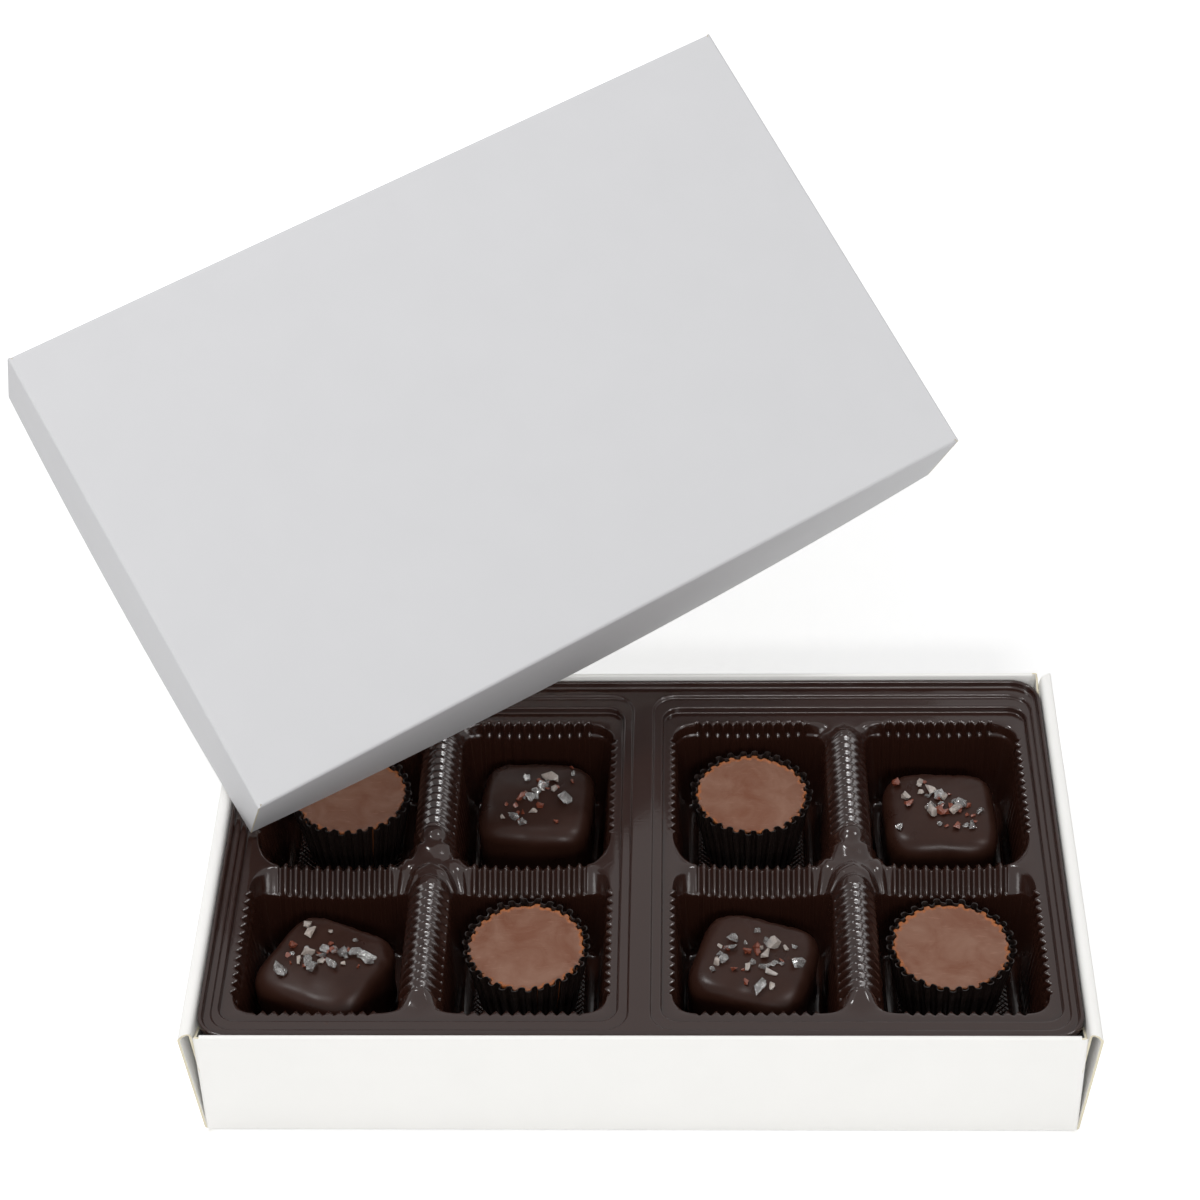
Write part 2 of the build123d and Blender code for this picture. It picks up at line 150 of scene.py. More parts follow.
for name, place, aim_height, size, watts, glints_only in (
        ("overhead_soft_box", (-0.40, 0.16, 0.88), 0, (0.20, 0.14), 2.4, False),
        ("front_soft_box", (0.16, -1.0, 0.72), 0.02, (0.34, 0.10), 3.4, False),
        ("front_card", (0.42, -0.98, 0.42), 0.02, (0.38, 0.50), 3.0, True),
        ("right_card", (0.9, -0.52, 0.25), 0.02, (0.35, 0.30), 1.2, True),
        ("left_card", (-0.9, -0.52, 0.25), 0.02, (0.35, 0.30), 1.2, True),
        ("side_card", (0.62, -0.10, 0.78), 0.02, (0.16, 0.30), 2.2, True)):
    lamp = bpy.data.lights.new(name, "AREA")
    lamp.shape = "RECTANGLE"
    lamp.size, lamp.size_y = size
    lamp.energy = watts
    holder = add_object(name, lamp)
    holder.location = place
    toward = Vector((0, 0, aim_height)) - Vector(place)
    holder.rotation_mode = "QUATERNION"
    holder.rotation_quaternion = toward.to_track_quat("-Z", "Y")
    holder.visible_diffuse = not glints_only


# Base carton. One blank of coated white board, folded up: the long walls have their top
# edge folded in as a hem, the end walls roll over the corner tabs and tuck in behind
# them. The outside is smooth clay coat; the die-cut edges show the creamier core.
BOX_LENGTH, BOX_WIDTH, BOX_HEIGHT = 181.0, 112.0, 28.6
BOARD = 0.5


def clumps(tree, apart, detail, extra=None):
    """Noise in the object's own space, its clumps so many millimetres apart."""
    place = add_node(tree, "ShaderNodeTexCoord").outputs["Object"]
    return add_node(tree, "ShaderNodeTexNoise", sockets={
        "Vector": place, "Scale": 1 / (apart * MM), "Detail": detail,
        **(extra or {})}).outputs[0]


def tinted(tree, share, one, other):
    """A colour between two others."""
    return add_node(tree, "ShaderNodeMix", {"data_type": "RGBA"},
                    {0: share, 6: one, 7: other}).outputs[2]


def relief(tree, height, strength, depth, under=None):
    """A bump of so many millimetres, laid over another one if there is one."""
    sockets = {"Strength": strength, "Distance": depth * MM, "Height": height}
    if under:
        sockets["Normal"] = under
    return add_node(tree, "ShaderNodeBump", sockets=sockets).outputs[0]


def mottled(name, colour, shade, clouds, grains, bump, sockets):
    """A material that darkens to a share of its colour in clouds and has raised grains.
    Clouds and grains give millimetres apart and detail, bump its strength and height."""
    material, tree = start_material(name)
    deep = tuple(share * shade for share in linear(colour)[:3]) + (1,)
    finish_material(tree, {
        "Base Color": tinted(tree, clumps(tree, *clouds), deep, linear(colour)),
        "Normal": relief(tree, clumps(tree, *grains), *bump), **sockets})
    return material


def board_coat(name, colour):
    """Clay-coated paperboard: matt-satin, with a barely visible fibre texture."""
    return mottled(name, colour, 0.965, (12, 3.0), (0.8, 4.0), (0.12, 0.05),
                   {"Roughness": 0.6, "Specular IOR Level": 0.25})


white_board = board_coat("clay_coated_white_board", "#F8F7F4")
cut_board = board_coat("die_cut_board_core", "#E4DCC4")


def piece_of(name, points, faces, materials, marks=None, sharp=35):
    """A mesh piece from points in millimetres; marks give each face's material number."""
    mesh = bpy.data.meshes.new(name)
    mesh.from_pydata([Vector(point) * MM for point in points], [], faces)
    for material in materials:
        mesh.materials.append(material)
    if marks:
        mesh.polygons.foreach_set("material_index", marks)
    mesh.polygons.foreach_set("use_smooth", [True] * len(mesh.polygons))
    mesh.validate()
    mesh.set_sharp_from_angle(angle=math.radians(sharp))
    return add_object(name, mesh)


def bent_line(points, bends, steps=6):
    """A line whose inner corners are rounded, each starting at its bend's reach."""
    line = [Vector(points[0])]
    for before, corner, after, reach in zip(points, points[1:], points[2:], bends):
        before, corner, after = Vector(before), Vector(corner), Vector(after)
        start = corner + (before - corner).normalized() * reach
        end = corner + (after - corner).normalized() * reach
        for step in range(steps + 1):
            t = step / steps
            line.append(start * (1 - t) ** 2 + corner * 2 * t * (1 - t) + end * t * t)
    line.append(Vector(points[-1]))
    return line


def board_piece(name, line, reach, place, coats, runs=1):
    """Board whose middle follows a line and runs across it. reach(share, point) gives the
    run's two ends at a place on the line, and place(across, run, height) stands it up."""
    lengths = [0]
    for one, other in zip(line, line[1:]):
        lengths.append(lengths[-1] + (other - one).length)
    points = []
    for side in (1, -1):
        for at, here in enumerate(line):
            before = line[max(at - 1, 0)]
            after = line[min(at + 1, len(line) - 1)]
            first = (here - before).normalized() if at else (after - here).normalized()
            second = (after - here).normalized() if at < len(line) - 1 else first
            along = (first + second).normalized()
            normal = Vector((-along.y, along.x))
            mitre = 1 / max(0.5, math.sqrt((1 + first.dot(second)) / 2))
            skin = here + normal * side * BOARD / 2 * mitre
            low, high = reach(lengths[at] / lengths[-1], here)
            for run in range(runs + 1):
                points.append(place(skin.x, low + (high - low) * run / runs, skin.y))
    across = runs + 1
    under, last = len(line) * across, len(line) - 1
    faces, marks = [], []
    for a in range(last * across):
        b, run = a + across, a % across
        if run < runs:
            faces += [(a, a + 1, b + 1, b), (under + a, under + b, under + b + 1, under + a + 1)]
            marks += [0, 1]
        if run in (0, runs):
            ring = (a, b, under + b, under + a)
            faces.append(ring if run == 0 else ring[::-1])
            marks.append(2)
    for row in (0, last):
        for a in range(row * across, row * across + runs):
            ring = (a, under + a, under + a + 1, a + 1)
            faces.append(ring if row == 0 else ring[::-1])
            marks.append(2)
    made = piece_of(name, points, faces, coats, marks)
    tidy = bmesh.new()
    tidy.from_mesh(made.data)
    bmesh.ops.recalc_face_normals(tidy, faces=tidy.faces)
    tidy.to_mesh(made.data)
    tidy.free()
    return made


HEM_DEPTH, HEM_SLANT, HEM_FOLD = 12.0, 5.0, 0.56
END_FLARE, ROLL_WIDTH, BEND_HEIGHT = 3.1, 2.6, 16.0
white_coats = (white_board, white_board, cut_board)
half_length, half_width = BOX_LENGTH / 2, BOX_WIDTH / 2
wall_middle = half_width - BOARD / 2
hem_middle = wall_middle - HEM_FOLD
roll_top = BOX_HEIGHT - BOARD / 2
corner_reach = 1.4


def strip_line(half, bends):
    """A carton's long strip, hem to hem: one half of its line, then its mirror image."""
    return bent_line([*half, *[(-x, y) for x, y in reversed(half)]],
                     [HEM_FOLD / 2, HEM_FOLD / 2, *bends, HEM_FOLD / 2, HEM_FOLD / 2])


def strip_reach(half, fold, wall, rim):
    """The rule for how far a carton's long strip reaches: its floor or face, its walls up
    to the corner folds, and its slanted hems."""
    def reach(share, point):
        if abs(point.x) < wall - 0.2 and abs(point.y) < 1:
            inset = 1.0
        elif abs(abs(point.x) - (wall - HEM_FOLD)) < 0.02:
            inset = 1.2 + HEM_SLANT * abs(point.y - rim) / HEM_DEPTH
        else:
            inset = fold
        return inset - half, half - inset
    return reach


box_pieces = [board_piece(
    "base_floor_and_long_walls",
    strip_line(((-hem_middle, BOX_HEIGHT - HEM_DEPTH), (-hem_middle, roll_top),
                (-wall_middle, roll_top), (-wall_middle, BOARD / 2)), (0.7, 0.7)),
    strip_reach(half_length, corner_reach, wall_middle, BOX_HEIGHT),
    lambda across, run, height: (run, across, height), white_coats)]

TAB_LENGTH, TAB_DROP, TAB_TIP_DROP = 24.0, 3.4, 11.0
tab_line = bent_line(((half_length - corner_reach, wall_middle),
                      (half_length - BOARD / 2, wall_middle),
                      (half_length - BOARD / 2, half_width - TAB_LENGTH)), (0.85,))


def tab_reach(share, point):
    """A corner tab stands full height at its fold and is cut away towards its tip."""
    inward = wall_middle - point.y
    if inward < 0.3:
        return BOARD, BOX_HEIGHT - 0.25
    near = inward < TAB_LENGTH / 4
    return BOARD, BOX_HEIGHT - (min(TAB_DROP, 0.6 + inward * 1.2) if near else TAB_TIP_DROP)


roll_out = half_length + END_FLARE - BOARD / 2
roll_in = roll_out - ROLL_WIDTH + BOARD
inner_x = half_length - 1.1
end_line = bent_line(((half_length - 1.0, BOARD / 2), (half_length - 0.1, BOARD / 2),
                      (roll_out, roll_top), (roll_in, roll_top), (inner_x, BEND_HEIGHT),
                      (inner_x, 2 * BOARD)), (0.8, 1.0, 1.0, 3.0))


def end_reach(share, point):
    """Half width of an end wall: the outside covers the corner, the tucked side is shorter."""
    if point.x > roll_out - 0.6 or point.y < 20 and point.x > inner_x + 0.3:
        half = half_width - 0.1 - 0.5 * max(0, 1.2 - point.y)
    elif point.y > roll_top - 0.9:
        half = half_width - 0.1 - 1.3 * (roll_out - point.x) / (roll_out - roll_in)
    else:
        half = half_width - 1.45 - 0.5 * min(1, (BOX_HEIGHT - point.y) / 10)
    return -half, half


def corner_tabs(carton, line, reach, stand, coats):
    """A carton's four corner tabs, mirrored from the right back one."""
    return [board_piece(f"{carton}_corner_tab_{hand}_{end}", line, reach,
                        lambda across, run, height, side=side, row=row:
                            stand(side * across, row * height, run), coats)
            for side, hand in ((1, "right"), (-1, "left"))
            for row, end in ((1, "back"), (-1, "front"))]


def end_walls(carton, line, reach, stand, coats):
    """A carton's two rolled end walls, mirrored from the right one."""
    return [board_piece(f"{carton}_rolled_end_wall_{hand}", line, reach,
                        lambda across, run, height, side=side:
                            stand(side * across, run, height), coats, runs=24)
            for side, hand in ((1, "right"), (-1, "left"))]


# The base stands where it is drawn, so its points stay as they are.
box_pieces += corner_tabs("base", tab_line, tab_reach, lambda *point: point, white_coats)
box_pieces += end_walls("base", end_line, end_reach, lambda *point: point, white_coats)
for made in box_pieces:
    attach(made, "base")
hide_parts("base_carton")


# Candy tray. A thin sheet of dark brown polystyrene drawn over a mould: a stepped flange,
# two sections of four pockets, and fluted ribs that keep the pocket walls stiff. It drops
# loose into the carton. Drawn sheet is glossy with a faint orange peel on its flats.
TRAY_HALF_LENGTH, TRAY_HALF_WIDTH, TRAY_CORNER = 90.4, 54.6, 6.5
RIM_TOP, LEVEL_ONE, LEVEL_TWO, LEVEL_THREE = 27.6, 26.0, 25.1, 23.5
RIDGE_X, RIDGE_TOP, POCKET_EDGE_X, POCKET_EDGE_Y = 45.65, 25.6, 85.3, 45.1
CELL_LENGTH = POCKET_EDGE_X - RIDGE_X
POCKET_FLOOR, RAISED_FLOOR = 1.2, 2.2
RIB_DEPTH = 1.2
RIBS_ALONG_X, RIBS_ALONG_Y, RIB_SAMPLES = 11, 13, 8
CORNER_SAMPLES, CORNER_RIBS = 11, 3
RIDGE_HALF, DIVIDER_HALF = 4.2, 4.3
RIDGE_REACH, EDGE_REACH = 8.6, 5.8
WALL_DRAFT, CREASE_ROUND = 1.9, 0.48
CROSSING_TOP, DIVIDER_LOW = 24.0, 20.8
RIDGE_CREASE, FLANGE_CREASE, DIVIDER_SLOPE = 21.3, 20.6, 4.1

tray_sheet, tree = start_material("drawn_brown_polystyrene")
# Orange peel of the drawn sheet, about 0.9 mm across; embossed floor squares 1.3 mm apart.
place = add_node(tree, "ShaderNodeTexCoord").outputs["Object"]
axes = add_node(tree, "ShaderNodeSeparateXYZ", sockets={0: place}).outputs
waves = [calculate(tree, "SINE", calculate(tree, "MULTIPLY", axes[axis],
                                           2 * math.pi / (1.3 * MM))) for axis in "XY"]
floor_mark = add_node(tree, "ShaderNodeAttribute", {"attribute_name": "pocket_floor"})
grid = calculate(tree, "MULTIPLY", calculate(tree, "MULTIPLY", *waves),
                 floor_mark.outputs["Fac"])
finish_material(tree, {
    "Base Color": linear("#2C1812"), "Roughness": 0.15, "IOR": 1.57,
    "Specular IOR Level": 0.38,
    "Normal": relief(tree, clumps(tree, 0.9, 3.0), 0.18, 0.12, relief(tree, grid, 0.6, 0.15))})


def smooth(share):
    """Eases a share from 0 to 1 with no corner at either end."""
    share = min(1, max(0, share))
    return share * share * (3 - 2 * share)


def ridge_height(y):
    """Height of a column ridge's crest, low where rows cross and where it meets the flange."""
    toward_flange = smooth((POCKET_EDGE_Y - y - 0.8) / 5.5)
    toward_crossing = smooth((y - 0.6) / 4.5)
    high = LEVEL_THREE + (RIDGE_TOP - LEVEL_THREE) * toward_flange
    return CROSSING_TOP + (high - CROSSING_TOP) * toward_crossing


def divider_height(x):
    """Height of a row divider's crest: it sags between the ridge and the flange."""
    share = x / CELL_LENGTH
    end = CROSSING_TOP + (LEVEL_THREE - CROSSING_TOP) * smooth(share)
    return DIVIDER_LOW + (end - DIVIDER_LOW) * abs(2 * share - 1) ** 2.5


# One pocket's rings, from its crest down to its floor: the share of the upper slope's
# height that is left, and the offsets from the crest line on ridge, divider and flange
# sides, then the flutes' depth. Below the crease, offsets grow with the wall's draft.
slope_rings = [
    # left, ridge, divider, flange, flutes
    (1.000, 0.00, 0.00, 0.00, 1.20),
    (0.975, 0.78, 0.30, 0.62, 1.10),
    (0.910, 1.34, 0.70, 0.76, 1.00),
    (0.720, 2.22, 1.50, 0.90, 1.00),
    (0.470, 3.02, 2.50, 1.05, 1.00),
    (0.200, 3.72, 3.55, 1.18, 1.00),
    (0.060, 4.04, 4.05, 1.26, 0.95),
    (0.000, 4.20, 4.30, 1.34, 0.80),
]
wall_rings = [
    # share of the wall left, offset beyond the crease, flutes
    (0.985, 0.22, 0.55),
    (0.960, 0.38, 0.40),
    (0.920, CREASE_ROUND, 0.34),
    (0.600, CREASE_ROUND + WALL_DRAFT * 0.40, 0.29),
    (0.250, CREASE_ROUND + WALL_DRAFT * 0.75, 0.24),
    (0.050, CREASE_ROUND + WALL_DRAFT * 0.95, 0.16),
    (0.012, CREASE_ROUND + WALL_DRAFT + 0.25, 0.06),
    (0.000, CREASE_ROUND + WALL_DRAFT + 0.80, 0.00),
]
x_start, x_end = RIDGE_REACH, CELL_LENGTH - EDGE_REACH
y_start, y_end = RIDGE_REACH, POCKET_EDGE_Y - EDGE_REACH


def rib_wave(share, ribs, keen=0.94):
    """Rounded zigzag of the flutes along a side, level at both ends."""
    return math.asin(keen * math.sin(2 * math.pi * ribs * share)) / math.asin(keen)


def crest_height(side, along, x, y):
    """Height of the crest line on one side of a pocket."""
    if side == "ridge":
        return ridge_height(y)
    return divider_height(x) if side == "divider" else LEVEL_THREE


def crease_height(side, along, x, y):
    """Height of the crease where the ribbed slope turns into the steep wall."""
    sag = 1 - (2 * along - 1) ** 2
    if side == "ridge":
        return RIDGE_CREASE - 0.3 * sag
    if side == "divider":
        return divider_height(x_start + (x_end - x_start) * along) - DIVIDER_SLOPE
    return FLANGE_CREASE - 0.6 * sag


def height_of(rule, sides, x, y):
    """A height that changes evenly round a corner from one side's value to the next's."""
    return sum(weight * rule(side, along, x, y) for weight, side, along in sides)


def cell_ring(ridge, divider, flange, squareness=0.0):
    """One ring of a pocket. Each point has its place, its way into the pocket, its flute's
    wave, and the sides it belongs to, as weight, side and share along that side."""
    low_x, high_x, low_y, high_y = ridge, CELL_LENGTH - flange, divider, POCKET_EDGE_Y - flange
    sides = (("divider", (x_start, low_y), (x_end, low_y), (0, 1), RIBS_ALONG_X),
             ("flange", (high_x, y_start), (high_x, y_end), (-1, 0), RIBS_ALONG_Y),
             ("flange", (x_end, high_y), (x_start, high_y), (0, -1), -RIBS_ALONG_X),
             ("ridge", (low_x, y_end), (low_x, y_start), (1, 0), -RIBS_ALONG_Y))
    ring = []
    for number, (side, start, end, inward, ribs) in enumerate(sides):
        samples = abs(ribs) * RIB_SAMPLES
        for step in range(samples + 1):
            along = step / samples
            ring.append((start[0] + (end[0] - start[0]) * along,
                         start[1] + (end[1] - start[1]) * along,
                         inward, rib_wave(along, ribs), ((1, side, along),)))
        other, ahead, *rest = sides[(number + 1) % 4]
        centre_x, centre_y = (end[0], ahead[1]) if inward[0] == 0 else (ahead[0], end[1])
        for step in range(1, CORNER_SAMPLES + 1):
            share = step / (CORNER_SAMPLES + 1)
            c, s = math.cos(share * math.pi / 2), math.sin(share * math.pi / 2)
            stretch = 1 / ((1 - squareness) + squareness * max(c, s))
            x = centre_x + ((end[0] - centre_x) * c + (ahead[0] - centre_x) * s) * stretch
            y = centre_y + ((end[1] - centre_y) * c + (ahead[1] - centre_y) * s) * stretch
            away = math.hypot(x - x_start, y - y_start)
            # Only the corner at the crossing has ribs, in a fan.
            fan = math.sin(2 * math.pi * CORNER_RIBS * share) if side == "ridge" else 0.0
            blend = smooth(share)
            ring.append((x, y, ((x_start - x) / away, (y_start - y) / away), 0.8 * fan,
                         ((1 - blend, side, 1), (blend, other, 0))))
    return ring


cell_rings = []
for number, (left, *offsets, flutes) in enumerate(slope_rings):
    before = slope_rings[max(number - 1, 0)]
    after = slope_rings[min(number + 1, len(slope_rings) - 1)]
    row = []
    for x, y, inward, wave, sides in cell_ring(*offsets, max(0.0, 1 - number / 1.6)):
        crease = height_of(crease_height, sides, x, y)
        crest = height_of(crest_height, sides, x, y)
        side = sides[0][1]
        column = ("ridge", "divider", "flange").index(side) + 1
        run = after[column] - before[column]
        fall = (after[0] - before[0]) * (crest - crease)
        steep = math.hypot(run, fall) or 1
        # Flutes stand square to a slope, up on a crest, and level on the flange side.
        lean, rise = -fall / steep, run / steep
        if side == "flange":
            lean, rise = (1, 0) if number else (0, 0)
        elif number == 0:
            lean, rise = 0, 1
        depth = RIB_DEPTH / 2 * flutes * wave
        row.append((x + inward[0] * lean * depth, y + inward[1] * lean * depth,
                    crease + (crest - crease) * left + rise * depth))
    cell_rings.append(row)
for left, beyond, flutes in wall_rings:
    row = []
    for x, y, inward, wave, sides in cell_ring(RIDGE_HALF + beyond, DIVIDER_HALF + beyond,
                                               1.3 + beyond):
        crease = height_of(crease_height, sides, x, y)
        depth = RIB_DEPTH / 2 * flutes * wave
        row.append((x + inward[0] * depth, y + inward[1] * depth,
                    POCKET_FLOOR + (crease - POCKET_FLOOR) * left))
    cell_rings.append(row)

# The raised floor panel: its rings are the wall's last ring, drawn in towards the middle.
foot = cell_rings[-1]
left_x, right_x = min(x for x, y, z in foot), max(x for x, y, z in foot)
near_y, far_y = min(y for x, y, z in foot), max(y for x, y, z in foot)
mid_x, mid_y = (left_x + right_x) / 2, (near_y + far_y) / 2
for inset, z in ((1.3, POCKET_FLOOR), (1.6, POCKET_FLOOR + 0.25), (1.75, RAISED_FLOOR - 0.2),
                 (2.1, RAISED_FLOOR), (2.7, RAISED_FLOOR)):
    shrink_x, shrink_y = 1 - inset / (right_x - mid_x), 1 - inset / (far_y - mid_y)
    cell_rings.append([(mid_x + (x - mid_x) * shrink_x, mid_y + (y - mid_y) * shrink_y, z)
                       for x, y, old_z in foot])


def ring_quads(first, rings, count, flipped=False):
    """The faces between rings of equally many points, from the first point on."""
    faces = []
    for number in range(rings - 1):
        for step in range(count):
            a = first + number * count + step
            b = first + number * count + (step + 1) % count
            quad = (a, b, b + count, a + count)
            faces.append(quad[::-1] if flipped else quad)
    return faces


tray_points, tray_faces, floor_weights = [], [], []
per_ring = len(cell_rings[0])
for side in (1, -1):
    for column in (1, -1):
        for row in (1, -1):
            first = len(tray_points)
            flip = side * column * row < 0
            for number, ring in enumerate(cell_rings):
                tray_points += [(side * (RIDGE_X + column * x), row * y, z) for x, y, z in ring]
                floor_weights += [float(number >= len(cell_rings) - 2)] * per_ring
            tray_faces += ring_quads(first, len(cell_rings), per_ring, flip)
            floor = tuple(range(len(tray_points) - per_ring, len(tray_points)))
            tray_faces.append(floor[::-1] if flip else floor)

# The flange's rings, outward from a section's four pockets: how far each stands from
# the pocket edges on the ends, the spine and the long sides, its corner and its height.
section_rings = [
    # end, spine, side, corner, height
    (0.5, 0.5, 0.6, 0.5, LEVEL_THREE),
    (1.15, 1.15, 2.45, 3.2, LEVEL_THREE),
    (1.36, 1.36, 2.66, 3.5, LEVEL_THREE + 0.12),
    (1.40, 1.40, 2.70, 3.6, LEVEL_THREE + 0.30),
    (1.55, 1.55, 2.85, 4.0, LEVEL_TWO - 0.42),
    (1.60, 1.60, 2.90, 4.1, LEVEL_TWO - 0.22),
    (1.76, 1.76, 3.06, 4.2, LEVEL_TWO - 0.05),
    (2.05, 2.05, 3.35, 4.4, LEVEL_TWO),
    (2.45, 3.30, 5.60, 4.7, LEVEL_TWO),
    (2.70, 3.55, 5.85, 4.9, LEVEL_TWO + 0.12),
    (2.74, 3.60, 5.90, 4.9, LEVEL_TWO + 0.26),
    (2.82, 3.70, 6.00, 5.0, LEVEL_ONE - 0.32),
    (2.88, 3.78, 6.08, 5.0, LEVEL_ONE - 0.16),
    (3.02, 3.92, 6.22, 5.2, LEVEL_ONE - 0.04),
    (3.30, 4.15, 6.50, 5.4, LEVEL_ONE),
]
boundary = [(x, y) for x, y, z in cell_rings[0]
            if x > CELL_LENGTH - 0.01 or y > POCKET_EDGE_Y - 0.01]
outer_half = [(RIDGE_X + x, y) for x, y in boundary]
inner_half = [(RIDGE_X - x, y) for x, y in reversed(boundary)]
top_half = outer_half + inner_half[1:]
loop = top_half + [(x, -y) for x, y in reversed(top_half)][1:-1]
hole_loops = []
for side in (1, -1):
    first = len(tray_points)
    tray_points += [(side * x, y, LEVEL_THREE) for x, y in loop]
    for end, spine, long, corner, z in section_rings:
        for x, y in loop:
            half_x, half_y = CELL_LENGTH + (end if x > RIDGE_X else spine), POCKET_EDGE_Y + long
            u = (x - RIDGE_X) / CELL_LENGTH * half_x
            v = y / POCKET_EDGE_Y * half_y
            over_x, over_y = abs(u) - (half_x - corner), abs(v) - (half_y - corner)
            if over_x > 0 and over_y > 0:
                reach = math.hypot(over_x, over_y) / corner
                u = math.copysign(half_x - corner + over_x / reach, u)
                v = math.copysign(half_y - corner + over_y / reach, v)
            tray_points.append((side * (RIDGE_X + u), v, z))
    tray_faces += ring_quads(first, len(section_rings) + 1, len(loop), side > 0)
    hole_loops.append(list(range(len(tray_points) - len(loop), len(tray_points))))


def rounded_loop(half_x, half_y, corner, z, steps=10, runs=12):
    """A rounded rectangle's points, sampled along its straight sides as well."""
    arcs = []
    for quarter, (right, back) in enumerate(((1, 1), (-1, 1), (-1, -1), (1, -1))):
        turns = [(quarter + step / steps) * math.pi / 2 for step in range(steps + 1)]
        arcs.append([(right * (half_x - corner) + corner * math.cos(turn),
                      back * (half_y - corner) + corner * math.sin(turn), z) for turn in turns])
    points = []
    for arc, following in zip(arcs, arcs[1:] + arcs[:1]):
        (x, y, z), (next_x, next_y, z) = arc[-1], following[0]
        points += arc + [(x + (next_x - x) * run / runs, y + (next_y - y) * run / runs, z)
                         for run in range(1, runs)]
    return points


# The rim: a rounded bead that stands on the flange's edge and turns down outside it.
rim_profile = [(-1.55, LEVEL_ONE), (-1.25, LEVEL_ONE + 0.02), (-1.02, LEVEL_ONE + 0.22),
               (-0.93, LEVEL_ONE + 0.70), (-0.86, RIM_TOP - 0.35), (-0.70, RIM_TOP - 0.08),
               (-0.45, RIM_TOP), (-0.20, RIM_TOP - 0.08), (-0.05, RIM_TOP - 0.35),
               (0.0, RIM_TOP - 1.2), (0.0, RIM_TOP - 2.1)]
rim_start = len(tray_points)
for out, z in rim_profile:
    tray_points += rounded_loop(TRAY_HALF_LENGTH + out, TRAY_HALF_WIDTH + out,
                                TRAY_CORNER + out, z)
rim_count = (len(tray_points) - rim_start) // len(rim_profile)
tray_faces += ring_quads(rim_start, len(rim_profile), rim_count, True)
floor_weights += [0.0] * (len(tray_points) - len(floor_weights))

sheet = bmesh.new()
weight = sheet.verts.layers.float.new("pocket_floor")
corners = []
for point, value in zip(tray_points, floor_weights):
    corners.append(sheet.verts.new(Vector(point) * MM))
    corners[-1][weight] = value
sheet.verts.index_update()
for face in tray_faces:
    sheet.faces.new([corners[at] for at in face])
open_edges = []
for start_loop in hole_loops + [list(range(rim_start, rim_start + rim_count))]:
    for at, other in zip(start_loop, start_loop[1:] + start_loop[:1]):
        open_edges.append(sheet.edges.get((corners[at], corners[other])))
bmesh.ops.triangle_fill(sheet, use_beauty=True, use_dissolve=False, edges=open_edges,
                        normal=(0, 0, 1))
bmesh.ops.remove_doubles(sheet, verts=sheet.verts, dist=0.004 * MM)
bmesh.ops.recalc_face_normals(sheet, faces=sheet.faces)
level = max((face for face in sheet.faces
             if abs(face.calc_center_median().z - LEVEL_ONE * MM) < 0.01 * MM),
            key=lambda face: face.calc_area())
if level.normal.z < 0:
    bmesh.ops.reverse_faces(sheet, faces=sheet.faces)
mesh = bpy.data.meshes.new("pocketed_candy_tray")
sheet.to_mesh(mesh)
sheet.free()
mesh.materials.append(tray_sheet)
mesh.polygons.foreach_set("use_smooth", [True] * len(mesh.polygons))
tray = add_object(mesh.name, mesh)
thick = tray.modifiers.new("sheet_thickness", "SOLIDIFY")
thick.thickness, thick.offset = 0.35 * MM, -1
tray.modifiers.new("even_shading", "WEIGHTED_NORMAL").keep_sharp = True
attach(tray, "tray")
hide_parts("candy_tray")


# Paper cups. Four cups of dark glassine paper, pressed into flutes by a die, so each flute
# springs into a rounded loop and no two are quite alike. Milk chocolate is poured in over a
# soft filling and sets with a dull bloom; its edge follows the flutes and crumbles a little.
SEAT = RAISED_FLOOR + 0.2
FLUTES, FLUTE_SAMPLES = 30, 12
CUP_BASE, CUP_TOP, CUP_HEIGHT = 10.9, 13.9, 17.8
FLUTE_DEPTH, SCALLOP, CHOCOLATE_TOP, PAPER = 1.6, 1.0, 16.9, 0.17
FILLING_BASE, FILLING_FLARE, FILLING_FOOT, FILLING_HEIGHT = 7.4, 2.4, 2.8, 11.6

glassine, tree = start_material("fluted_dark_glassine")
# The paper's cockle is about 1.2 mm across, and its fibres about 0.25 mm.
cockle = clumps(tree, 1.2, 4.0)
finish_material(tree, {
    "Base Color": tinted(tree, cockle, linear("#120C0A"), linear("#241A17")),
    "Roughness": 0.34, "IOR": 1.5,
    "Normal": relief(tree, clumps(tree, 0.25, 2.0), 0.2, 0.05, relief(tree, cockle, 0.5, 0.25))})


def stretched(tree, value, low, high, to_low=0.0, to_high=1.0):
    """A value with the range between two levels stretched to another."""
    return add_node(tree, "ShaderNodeMapRange", sockets={
        "Value": value, "From Min": low, "From Max": high,
        "To Min": to_low, "To Max": to_high}).outputs[0]


milk_chocolate, tree = start_material("poured_milk_chocolate")
# Bloom lies in clouds about 9 mm across; drag marks of the knife are fine streaks.
cloud = clumps(tree, 9, 5.0, {"Roughness": 0.62, "Distortion": 0.7})
bloom = tinted(tree, stretched(tree, cloud, 0.34, 0.64), linear("#724530"), linear("#845F4D"))
place = add_node(tree, "ShaderNodeTexCoord").outputs["Object"]
knife_way = add_node(tree, "ShaderNodeMapping", sockets={
    0: place, "Rotation": (0, 0, 0.9), "Scale": (0.16, 1, 1)}).outputs[0]
streak = clumps(tree, 0.45, 3.0, {"Vector": knife_way})
bloom = tinted(tree, stretched(tree, streak, 0.62, 0.82, to_high=0.5), bloom, linear("#A07866"))
crumb = clumps(tree, 0.5, 3.0)
margin = add_node(tree, "ShaderNodeAttribute", {"attribute_name": "crumbly_margin"})
margin = stretched(tree, calculate(tree, "MULTIPLY", margin.outputs["Fac"], crumb), 0.16, 0.42)
